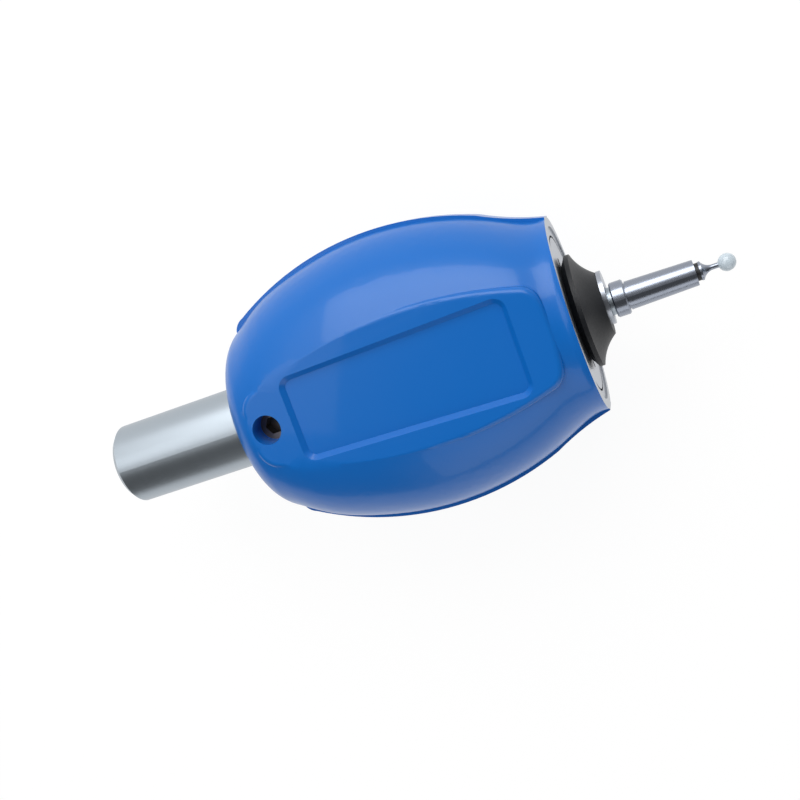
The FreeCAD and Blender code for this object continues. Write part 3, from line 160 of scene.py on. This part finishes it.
def make_polished_steel():
    """Polished stainless steel: bright, with sharp reflections."""
    material, tree, shader = surface("polished_steel", "#9096A2", 0.24, 1.0)
    rings = noise(tree, object_coordinates(tree, (5, 0.2, 0.2)), 1.0, 2.0)
    roughen(tree, shader, rings, 0.2, 0.32)
    return material


def make_black_steel():
    """Blackened alloy steel of the socket screws: dark, slightly oily."""
    material, tree, shader = surface("blackened_steel", "#34363A", 0.35, 0.9)
    patches = noise(tree, object_coordinates(tree), 1.2, 3.0)
    roughen(tree, shader, patches, 0.25, 0.5)
    return material


def make_oxidised_steel():
    """Set screws browned by oil and handling: dark steel with patchy roughness."""
    material, tree, shader = surface("browned_steel", "#77706C", 0.4, 1.0)
    patches = noise(tree, object_coordinates(tree), 1.5, 3.0)
    roughen(tree, shader, patches, 0.28, 0.5)
    return material


def make_rubber():
    """Moulded nitrile rubber: matte black with a soft grain."""
    material, tree, shader = surface("moulded_nitrile_rubber", "#0C1017", 0.5)
    grain = noise(tree, object_coordinates(tree), 2.2, 4.0)
    roughen(tree, shader, grain, 0.42, 0.6)
    bump(tree, shader, grain, 0.03)
    return material


def make_brass():
    """Lapped watch-plate brass: warm, satin."""
    material, tree, shader = surface("lapped_brass", "#D9B36A", 0.28, 1.0)
    rubs = noise(tree, object_coordinates(tree, (1, 8, 1)), 1.0, 3.0)
    roughen(tree, shader, rubs, 0.22, 0.38)
    return material


def make_spring_steel():
    """Drawn spring wire: grey-blue, smooth."""
    material, tree, shader = surface("drawn_spring_steel", "#9AA0AA", 0.3, 1.0)
    roughen(tree, shader, noise(tree, object_coordinates(tree), 3.0), 0.25, 0.38)
    return material


def make_ceramic():
    """Ground and polished ceramic ball: pale, glassy."""
    material, tree, shader = surface("polished_ceramic", "#C6D3DC", 0.12, Coat_Weight=0.3)
    roughen(tree, shader, noise(tree, object_coordinates(tree), 1.5), 0.08, 0.16)
    return material


def make_anodised():
    """Bead-blasted, black anodised aluminium: charcoal, satin."""
    material, tree, shader = surface("black_anodised_aluminium", "#232427", 0.42, 0.6)
    grain = noise(tree, object_coordinates(tree), 8.0, 2.0)
    roughen(tree, shader, grain, 0.36, 0.5)
    bump(tree, shader, grain, 0.005)
    return material


def make_dial_enamel():
    """Sprayed white dial enamel: flat and even."""
    material, tree, shader = surface("white_dial_enamel", "#ECEBE6", 0.5)
    roughen(tree, shader, noise(tree, object_coordinates(tree), 4.0), 0.45, 0.58)
    return material


def make_matte_black():
    """Matte black lacquer of the pointers and the dial's printing."""
    material, tree, shader = surface("matte_black_lacquer", "#141414", 0.55)
    roughen(tree, shader, noise(tree, object_coordinates(tree), 4.0), 0.5, 0.62)
    return material


def make_crystal_glass():
    """Flat acrylic crystal: clear, thin reflections."""
    material, tree, shader = surface("clear_acrylic", "#FFFFFF", 0.03, Transmission_Weight=1.0, IOR=1.49)
    roughen(tree, shader, noise(tree, object_coordinates(tree), 0.3), 0.02, 0.04)
    return material


def make_dark_collar():
    """Matte black moulded collar of the shear point."""
    material, tree, shader = surface("black_acetal", "#1B1B1D", 0.45)
    roughen(tree, shader, noise(tree, object_coordinates(tree), 5.0), 0.4, 0.55)
    return material


LACQUER = make_lacquer()
BARE_CASTING = make_bare_casting()
GROUND = make_ground_steel()
TURNED = make_turned_steel()
POLISHED = make_polished_steel()
BLACKENED = make_black_steel()
OXIDISED = make_oxidised_steel()
RUBBER = make_rubber()
BRASS = make_brass()
SPRING = make_spring_steel()
CERAMIC = make_ceramic()
ANODISED = make_anodised()
ENAMEL = make_dial_enamel()
BLACK_INK = make_matte_black()
CRYSTAL = make_crystal_glass()
ACETAL = make_dark_collar()

FINISHES = {
    "housing": LACQUER, "shank": GROUND, "shank_screw": BLACKENED, "runout_screws": OXIDISED,
    "nose_cover": TURNED, "boot": RUBBER, "boot_washer": TURNED, "gimbal_carrier": TURNED,
    "carrier_pins": GROUND, "gimbal_ring": TURNED, "ring_pins": GROUND, "gimbal_sleeve": TURNED,
    "probe_arm": GROUND, "lock_collar": POLISHED, "stylus_sleeve": POLISHED, "break_collar": ACETAL,
    "stylus_stem": POLISHED, "stylus_ball": CERAMIC, "transfer_ball": POLISHED, "rack_spindle": GROUND,
    "spindle_bush": BRASS, "return_spring": SPRING, "rack_arbor": GROUND, "rack_wheel": BRASS,
    "centre_arbor": GROUND, "takeup_arbor": GROUND, "takeup_wheel": BRASS, "hairspring": SPRING,
    "back_plate": BRASS, "front_plate": BRASS, "pillars": BRASS, "movement_screws": GROUND,
    "dial_plate": ENAMEL, "dial_spacer": ANODISED, "main_pointer": BLACK_INK, "small_pointer": BLACK_INK,
    "crystal": CRYSTAL, "crystal_seal": RUBBER, "bezel": ANODISED,
}
for name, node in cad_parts.items():
    node.data.materials.clear()
    node.data.materials.append(FINISHES[name])


# ---------------------------------------------------------------- smooth copies and fitted pieces

WELD = 0.002 * MM
SHARP_DEGREES = 28


def place(bm, name, body, finishes, node=None):
    """Shade a finished piece, give it its finishes and let it ride; it may stand for a node."""
    for face in bm.faces:
        face.smooth = True
    for edge in bm.edges:
        edge.smooth = edge.calc_face_angle(0) < math.radians(SHARP_DEGREES)
    mesh = bpy.data.meshes.new(name)
    bm.to_mesh(mesh)
    bm.free()
    for finish in finishes:
        mesh.materials.append(finish)
    piece = bpy.data.objects.new(name, mesh)
    bpy.context.scene.collection.objects.link(piece)
    even = piece.modifiers.new("even_flats", "WEIGHTED_NORMAL")
    even.keep_sharp = True
    even.weight = 100
    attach(piece, body)
    if node:
        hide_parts(node)
    return piece


def merged(node):
    """The node's mesh with its loose triangles joined up."""
    bm = bmesh.new()
    bm.from_mesh(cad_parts[node].data)
    bmesh.ops.remove_doubles(bm, verts=bm.verts, dist=WELD)
    return bm


NOSE_FACE_SKIN = 0.1 * MM
NOSE_BORE_LENGTH = 20 * MM
NOSE_BORE_REACH = 20.8 * MM


def make_housing_skin():
    """The casting is lacquered outside and left bare where the nose was faced and bored."""
    bm = merged("housing")
    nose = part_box("housing")[1].x
    for face in bm.faces:
        middle = face.calc_center_median()
        reach = math.hypot(middle.y, middle.z)
        faced = middle.x > nose - NOSE_FACE_SKIN
        bored = middle.x > nose - NOSE_BORE_LENGTH and reach < NOSE_BORE_REACH
        face.material_index = 1 if faced or bored else 0
    place(bm, "housing_skin", "case", (LACQUER, BARE_CASTING), "housing")


DIVISIONS = 100
INK = 0.02 * MM
MARK_INSET = 1.5 * MM
TENS_MARK = (2.6 * MM, 0.32 * MM)
FIVES_MARK = (1.9 * MM, 0.18 * MM)
PLAIN_MARK = (1.3 * MM, 0.18 * MM)
NUMBER_HEIGHT = 3.2 * MM
NUMBER_INSET = 5 * MM


def dial_place():
    """Centre of the dial's printed face, and how far its marks reach."""
    low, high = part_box("dial_plate")
    return Vector(((low.x + high.x) / 2, 0, low.z - INK)), high.y - MARK_INSET


def make_dial_divisions():
    """A hundred divisions of 0.01 mm, longer at each five and ten."""
    centre, reach = dial_place()
    bm = bmesh.new()
    for division in range(DIVISIONS):
        length, width = PLAIN_MARK
        if division % 10 == 0:
            length, width = TENS_MARK
        elif division % 5 == 0:
            length, width = FIVES_MARK
        turn = Matrix.Rotation(division * math.tau / DIVISIONS, 4, "Z")
        bar = Matrix.Diagonal((length, width, INK, 1))
        middle = Matrix.Translation((length / 2 - reach, 0, 0))
        bmesh.ops.create_cube(bm, size=1, matrix=Matrix.Translation(centre) @ turn @ middle @ bar)
    place(bm, "dial_divisions", "case", (BLACK_INK,))


def make_dial_number(tens):
    """One printed number of the dial, by tens of divisions."""
    centre, reach = dial_place()
    letters = bpy.data.curves.new(f"dial_number_{tens}", "FONT")
    letters.body = str(tens * 10)
    letters.size = NUMBER_HEIGHT
    letters.align_x = "CENTER"
    letters.align_y = "CENTER"
    text = bpy.data.objects.new("text", letters)
    bpy.context.scene.collection.objects.link(text)
    shape = bpy.data.meshes.new_from_object(text)
    bpy.data.objects.remove(text)
    turn = Matrix.Rotation(tens * math.tau / 10, 3, "Z")
    spot = centre + turn @ Vector((NUMBER_INSET - reach, 0, 0))
    upright = Matrix.Rotation(math.pi, 4, "Y") @ Matrix.Rotation(math.pi / 2, 4, "Z")
    shape.transform(Matrix.Translation(spot) @ upright)
    bm = bmesh.new()
    bm.from_mesh(shape)
    place(bm, f"dial_number_{tens}", "case", (BLACK_INK,))


make_housing_skin()
make_dial_divisions()
for tens in range(10):
    make_dial_number(tens)


# ---------------------------------------------------------------- floor, light, camera

FLOOR_HALF = 1.5
OBJECT_MIDDLE = 0.08


def make_floor():
    """A pale, matte floor under the dial; seen directly it is white and keeps a faint shadow."""
    bm = bmesh.new()
    bmesh.ops.create_grid(bm, x_segments=1, y_segments=1, size=FLOOR_HALF,
                          matrix=Matrix.Translation((OBJECT_MIDDLE, 0, cad_low.z)))
    mesh = bpy.data.meshes.new("floor")
    bm.to_mesh(mesh)
    floor = bpy.data.objects.new("floor", mesh)
    bpy.context.scene.collection.objects.link(floor)
    material, tree, shader = surface("white_paper_floor", "#F2F2F2", 0.9)
    rays = add(tree, "ShaderNodeLightPath")
    seen = add(tree, "ShaderNodeMath", {"operation": "MAXIMUM"}, i0=rays.outputs["Is Camera Ray"],
               i1=rays.outputs["Is Glossy Ray"])
    clear = add(tree, "ShaderNodeMath", {"operation": "MAXIMUM"}, i0=seen.outputs["Value"],
                i1=rays.outputs["Is Transmission Ray"])
    share = add(tree, "ShaderNodeMath", {"operation": "MULTIPLY"}, i0=clear.outputs["Value"], i1=0.9)
    glow = add(tree, "ShaderNodeEmission", Color=(1, 1, 1, 1), Strength=1.03)
    mixed = add(tree, "ShaderNodeMixShader", Fac=share.outputs["Value"], i1=shader.outputs["BSDF"],
                i2=glow.outputs["Emission"])
    output = next(node for node in tree.nodes if node.type == "OUTPUT_MATERIAL")
    tree.links.new(mixed.outputs["Shader"], output.inputs["Surface"])
    mesh.materials.append(material)


def make_world():
    """An even room, lit whiter on the +Y side; the backdrop itself is white."""
    world = bpy.data.worlds.new("studio")
    bpy.context.scene.world = world
    world.use_nodes = True
    tree = world.node_tree
    tree.nodes.clear()
    rays = add(tree, "ShaderNodeLightPath")
    seen = add(tree, "ShaderNodeMath", {"operation": "MAXIMUM"}, i0=rays.outputs["Is Camera Ray"],
               i1=rays.outputs["Is Transmission Ray"])
    heading = add(tree, "ShaderNodeSeparateXYZ", Vector=add(tree, "ShaderNodeTexCoord").outputs["Generated"])
    side = add(tree, "ShaderNodeMapRange", Value=heading.outputs["Y"], From_Min=-0.1, From_Max=0.9,
               To_Min=0.12, To_Max=1.0)
    shown = add(tree, "ShaderNodeMix", {"data_type": "FLOAT"}, i0=rays.outputs["Is Glossy Ray"], i2=0.35,
                i3=side.outputs["Result"])
    level = add(tree, "ShaderNodeMix", {"data_type": "FLOAT"}, i0=seen.outputs["Value"],
                i2=shown.outputs[0], i3=1.0)
    back = add(tree, "ShaderNodeBackground", Color=(1, 1, 1, 1), Strength=level.outputs[0])
    add(tree, "ShaderNodeOutputWorld", Surface=back.outputs["Background"])


def softbox(name, place, target, size, power, tint="#FFFFFF"):
    data = bpy.data.lights.new(name, "AREA")
    data.shape = "RECTANGLE"
    data.size, data.size_y = size
    data.energy = power
    data.color = colour(tint)[:3]
    lamp = bpy.data.objects.new(name, data)
    lamp.location = place
    lamp.rotation_euler = (Vector(target) - Vector(place)).to_track_quat("-Z", "Y").to_euler()
    bpy.context.scene.collection.objects.link(lamp)


CAMERA_PLACE = (0.13942, 0.02595, 0.24033)
CAMERA_RIGHT = (0.9147, -0.3465, -0.2080)
CAMERA_UP = (0.3046, 0.9293, -0.2086)


def make_camera():
    """Above the nose end, rolled so that the shank points down and to the left."""
    data = bpy.data.cameras.new("camera")
    data.lens = 47.25
    data.sensor_width = 36
    data.clip_start = 0.01
    camera = bpy.data.objects.new("camera", data)
    right = Vector(CAMERA_RIGHT)
    up = Vector(CAMERA_UP)
    back = right.cross(up).normalized()
    up = back.cross(right).normalized()
    turn = Matrix((right.normalized(), up, back)).transposed().to_4x4()
    camera.matrix_world = Matrix.Translation(CAMERA_PLACE) @ turn
    bpy.context.scene.collection.objects.link(camera)
    bpy.context.scene.camera = camera


make_floor()
make_world()
softbox("sky_panel", (0.10, 0.55, 0.45), (0.08, 0, 0), (0.7, 0.5), 4.0)
softbox("key_panel", (-0.25, 0.15, 0.6), (0.07, 0, 0), (0.4, 0.4), 0.8)
softbox("fill_panel", (0.2, -0.6, 0.25), (0.08, 0, 0), (0.6, 0.4), 0.9)
make_camera()

scene = bpy.context.scene
scene.view_settings.view_transform = "Standard"
